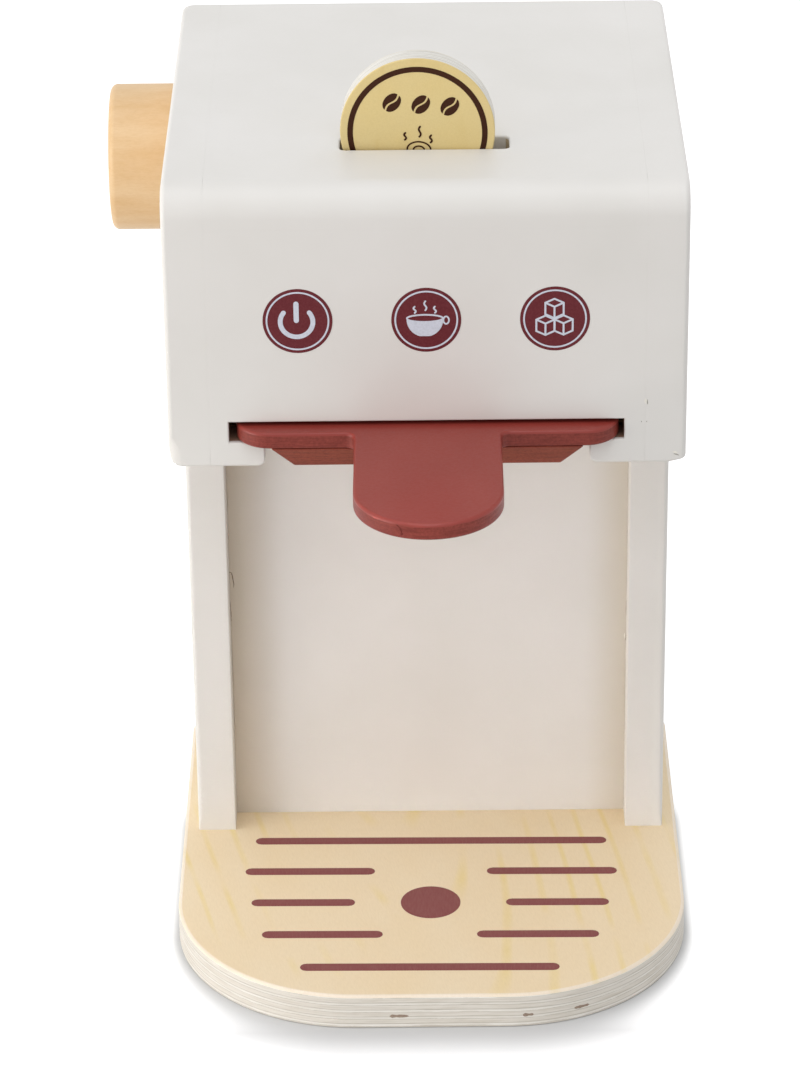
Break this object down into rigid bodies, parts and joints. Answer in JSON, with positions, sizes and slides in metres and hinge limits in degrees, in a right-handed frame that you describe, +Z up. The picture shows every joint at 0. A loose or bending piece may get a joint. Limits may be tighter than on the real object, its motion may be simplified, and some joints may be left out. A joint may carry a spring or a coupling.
{
  "type": "toy coffee maker",
  "caption": "Toy coffee maker: overhanging head on side boards over a rounded plywood base, with a pull-out tray with a tab, a turning side knob and a token standing in a top slot.",
  "frame": {"origin": "centre of the base board's underside", "axes": "+X to the right, -Y out of the front where the tray pulls out, +Z up"},
  "size_m": [0.1582, 0.1946, 0.2647],
  "materials": {
    "white_painted_wood": "satin off-white paint over smooth board",
    "plywood": "clear-coated birch plywood with pale edge plies",
    "beech": "smooth bare beech",
    "terracotta_painted_wood": "satin brick-red paint over plywood",
    "steel": "zinc-plated screws"
  },
  "bodies": {
    "housing": {"base_board": "plywood", "side_board_left": "white_painted_wood", "side_board_right": "white_painted_wood", "head_front_board": "white_painted_wood", "head_top_board": "white_painted_wood", "recess_board": "white_painted_wood", "rear_board": "white_painted_wood", "rail_left": "beech", "rail_right": "beech", "tray_ceiling": "beech", "token_pocket": "beech", "base_screws": "steel", "front_dowels": "beech", "top_dowels": "beech", "recess_dowels": "beech", "rear_dowels": "beech", "rail_dowels": "beech"},
    "tray": {"tray_plate": "terracotta_painted_wood", "tray_block": "terracotta_painted_wood", "tray_dowels": "beech", "tray_peg": "beech"},
    "knob": {"knob": "beech", "knob_axle": "beech", "knob_collar": "beech", "axle_screw": "steel"},
    "token": {"token": "plywood"}
  },
  "joints": [
    {"name": "tray_slide", "type": "slide", "parent": "housing", "child": "tray", "axis": [0, -1, 0], "range_m": [0, 0.05]},
    {"name": "knob_turn", "type": "hinge", "parent": "housing", "child": "knob", "pos_m": [-0.0775, 0.0445, 0.208], "axis": [-1, 0, 0], "continuous": true},
    {"name": "token_lift", "type": "slide", "parent": "housing", "child": "token", "axis": [0, 0, 1], "range_m": [0, 0.03]}
  ]
}
